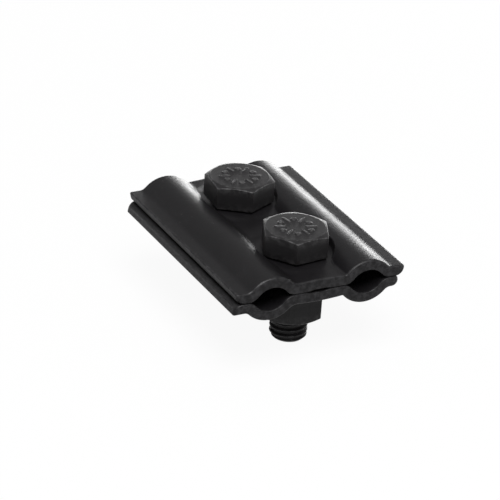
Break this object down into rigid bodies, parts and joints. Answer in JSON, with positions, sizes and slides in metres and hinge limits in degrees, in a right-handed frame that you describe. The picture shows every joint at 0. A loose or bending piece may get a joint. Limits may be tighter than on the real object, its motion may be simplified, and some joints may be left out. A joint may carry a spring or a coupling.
{
  "type": "parallel groove clamp",
  "caption": "Two grooved pressed steel plates drawn together by hexagon bolts, nuts and spring washers, to clamp two parallel round conductors side by side.",
  "frame": {"origin": "midway between the two bolt axes, in the plane where the two plates meet", "axes": "+Y along the conductor grooves towards the rear bolt, +X across the grooves, +Z out of the bolt heads, away from the nuts"},
  "size_m": [0.039, 0.0503, 0.0251],
  "materials": {
    "plate_lacquer": "semi-gloss black lacquer on pressed steel",
    "bolt_black": "satin black coating on forged steel",
    "nut_black": "satin black coating on steel",
    "washer_black": "satin black coating on spring steel"
  },
  "bodies": {
    "lower_plate": {"lower_plate": "plate_lacquer", "front_spring_washer": "washer_black", "rear_spring_washer": "washer_black"},
    "upper_plate": {"upper_plate": "plate_lacquer"},
    "front_bolt": {"front_bolt": "bolt_black"},
    "rear_bolt": {"rear_bolt": "bolt_black"},
    "front_nut": {"front_nut": "nut_black"},
    "rear_nut": {"rear_nut": "nut_black"}
  },
  "joints": [
    {"name": "upper_plate_lift", "type": "slide", "parent": "lower_plate", "child": "upper_plate", "axis": [0, 0, 1], "range_m": [0, 0.00625]},
    {"name": "front_nut_turn", "type": "hinge", "parent": "lower_plate", "child": "front_nut", "pos_m": [0, -0.0125, 0], "axis": [0, 0, -1], "range_deg": [0, 1801]},
    {"name": "rear_nut_turn", "type": "hinge", "parent": "lower_plate", "child": "rear_nut", "pos_m": [0, 0.0125, 0], "axis": [0, 0, -1], "range_deg": [0, 1801]},
    {"name": "front_bolt_turn", "type": "hinge", "parent": "upper_plate", "child": "front_bolt", "pos_m": [0, -0.0125, 0], "axis": [0, 0, 1], "continuous": true},
    {"name": "rear_bolt_turn", "type": "hinge", "parent": "upper_plate", "child": "rear_bolt", "pos_m": [0, 0.0125, 0], "axis": [0, 0, 1], "continuous": true}
  ],
  "couplings": [
    {"joint": "front_nut_turn", "follows": "upper_plate_lift", "rad_per_m": 5026.5},
    {"joint": "rear_nut_turn", "follows": "upper_plate_lift", "rad_per_m": 5026.5}
  ]
}
